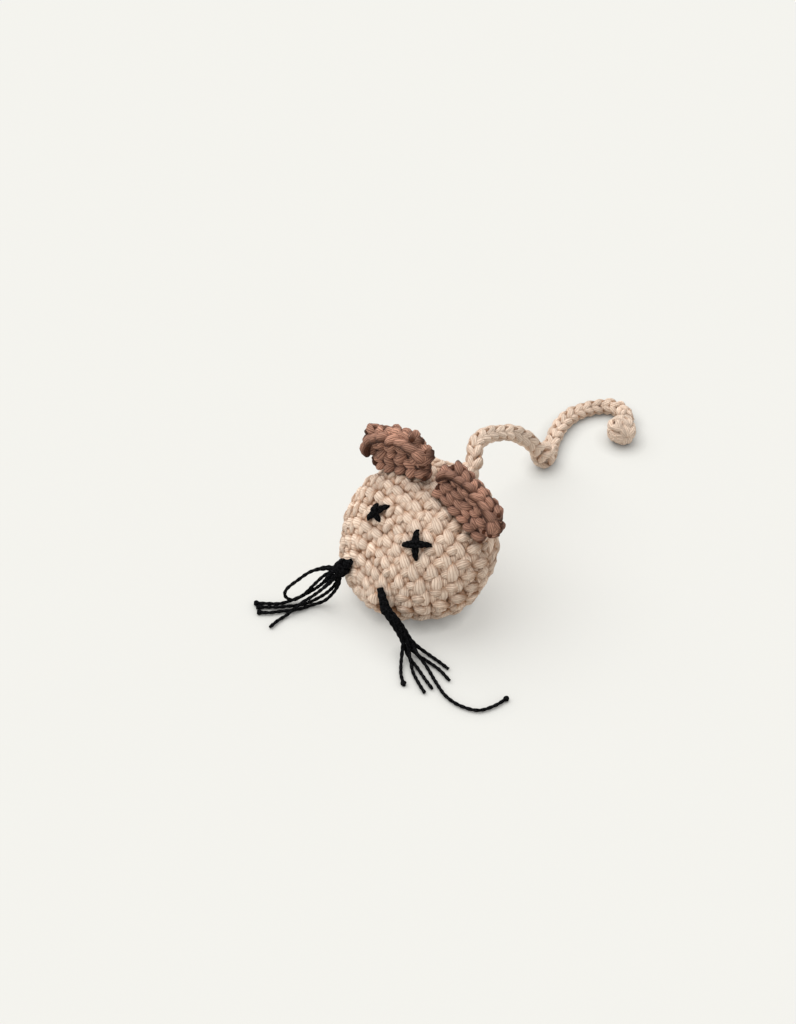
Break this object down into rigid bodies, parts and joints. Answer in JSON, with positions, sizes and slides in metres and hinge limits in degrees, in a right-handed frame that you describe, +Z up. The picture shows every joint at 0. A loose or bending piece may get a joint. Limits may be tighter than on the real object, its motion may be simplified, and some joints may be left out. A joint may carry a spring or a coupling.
{
  "type": "catnip mouse toy",
  "caption": "Crocheted cotton mouse toy with a stuffed round body, cupped ears, cross-stitched eyes, knotted thread whiskers and a corded tail; it holds a catnip sachet.",
  "frame": {"origin": "on the flat underside, below the middle of the body's length and width", "axes": "-Y towards the nose, +Y towards the tail, +X to the mouse's left, +Z up"},
  "size_m": [0.0919, 0.1678, 0.0616],
  "materials": {
    "cream_cotton": "matt twisted cotton yarn",
    "taupe_cotton": "matt twisted cotton yarn",
    "black_thread": "matt cotton thread",
    "white_fibre": "loose fibre",
    "muslin": "plain weave",
    "dried_herb": "crumbled dry leaf"
  },
  "bodies": {
    "body": {"body_cover": "cream_cotton", "fibre_stuffing": "white_fibre", "catnip_sachet": "muslin", "catnip_herb": "dried_herb", "sachet_tie": "black_thread", "closing_yarn": "cream_cotton", "tail_seam": "cream_cotton", "left_ear_seam": "taupe_cotton", "right_ear_seam": "taupe_cotton", "left_eye_under_stitch": "black_thread", "left_eye_over_stitch": "black_thread", "right_eye_under_stitch": "black_thread", "right_eye_over_stitch": "black_thread", "left_whisker_knot": "black_thread", "right_whisker_knot": "black_thread"},
    "left_ear": {"left_ear": "taupe_cotton"},
    "right_ear": {"right_ear": "taupe_cotton"},
    "left_whiskers": {"left_whisker_1": "black_thread", "left_whisker_2": "black_thread", "left_whisker_3": "black_thread", "left_whisker_4": "black_thread", "left_whisker_5": "black_thread", "left_whisker_6": "black_thread"},
    "right_whiskers": {"right_whisker_1": "black_thread", "right_whisker_2": "black_thread", "right_whisker_3": "black_thread", "right_whisker_4": "black_thread", "right_whisker_loop": "black_thread"},
    "tail": {"tail_cord": "cream_cotton", "tail_tip_bobble": "cream_cotton"}
  },
  "joints": [
    {"name": "left_ear_flap", "type": "hinge", "parent": "body", "child": "left_ear", "pos_m": [0.01622, 0.00477, 0.04279], "axis": [0.8907, -0.0293, -0.4536], "range_deg": [-20, 30], "stiffness_Nm_per_rad": 0.004},
    {"name": "right_ear_flap", "type": "hinge", "parent": "body", "child": "right_ear", "pos_m": [-0.01166, 0.00429, 0.04447], "axis": [0.9461, 0.1599, 0.2816], "range_deg": [-25, 25], "stiffness_Nm_per_rad": 0.004},
    {"name": "left_whisker_swing", "type": "hinge", "parent": "body", "child": "left_whiskers", "pos_m": [0.01328, -0.02532, 0.01598], "axis": [0, 0, 1], "range_deg": [-18, 18]},
    {"name": "right_whisker_swing", "type": "hinge", "parent": "body", "child": "right_whiskers", "pos_m": [-0.01112, -0.02608, 0.01611], "axis": [0, 0, 1], "range_deg": [-18, 18]},
    {"name": "tail_swing", "type": "hinge", "parent": "body", "child": "tail", "pos_m": [-0.00184, 0.0256, 0.03819], "axis": [0, 0, 1], "range_deg": [-20, 20]}
  ]
}
